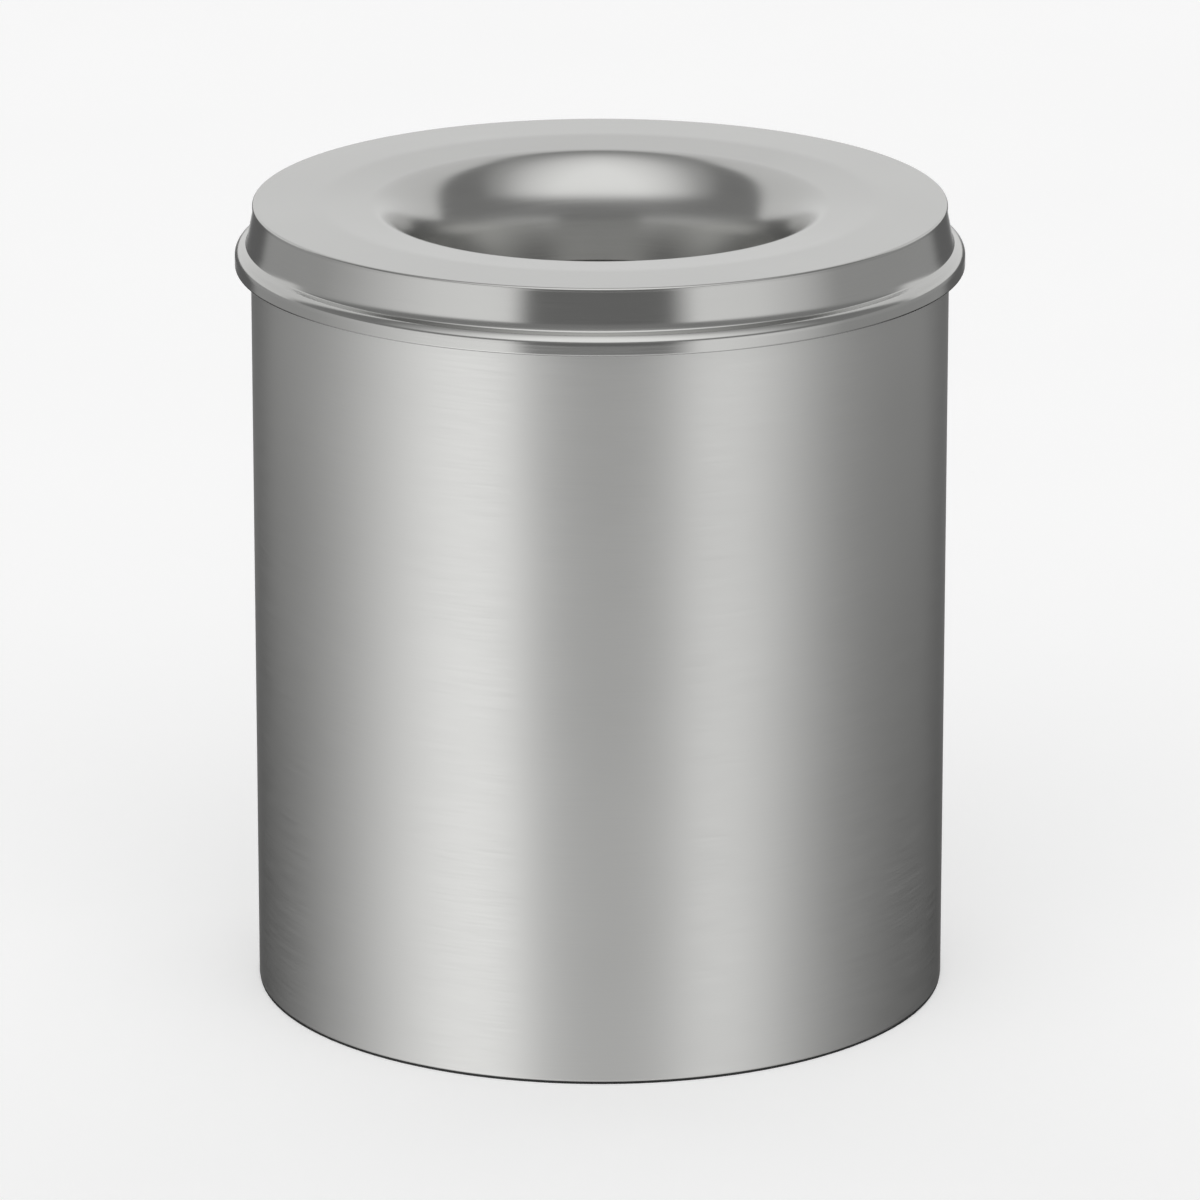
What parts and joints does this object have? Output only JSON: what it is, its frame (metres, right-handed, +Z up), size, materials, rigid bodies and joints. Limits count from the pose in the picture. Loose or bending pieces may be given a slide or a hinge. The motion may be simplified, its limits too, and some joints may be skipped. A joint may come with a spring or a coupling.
{
  "type": "flame-smothering waste bin",
  "caption": "Free-standing round sheet-steel waste bin whose lift-off head has a funnel mouth that turns smoke back on a fire.",
  "frame": {"origin": "on the floor at the middle of the round body", "axes": "+Z up along the bin's axis, towards the mouth of the head; the front faces -Y and the side weld is at +Y"},
  "size_m": [0.4864, 0.4864, 0.54],
  "materials": {
    "body_steel": "satin",
    "base_steel": "mill",
    "head_steel": "fine satin",
    "skirt_steel": "bright",
    "edge_wire": "drawn",
    "clip_steel": "spring temper",
    "ring_plastic": "moulded"
  },
  "bodies": {
    "bin": {"body_shell": "body_steel", "rim_wire": "edge_wire", "base_plate": "base_steel", "floor_ring": "ring_plastic"},
    "head": {"head_panel": "head_steel", "head_funnel": "head_steel", "head_skirt": "skirt_steel", "throat_wire": "edge_wire", "head_clip_front": "clip_steel", "head_clip_right": "clip_steel", "head_clip_left": "clip_steel"}
  },
  "joints": [
    {"name": "head_lift", "type": "slide", "parent": "bin", "child": "head", "axis": [0, 0, 1], "range_m": [0, 0.15]}
  ]
}
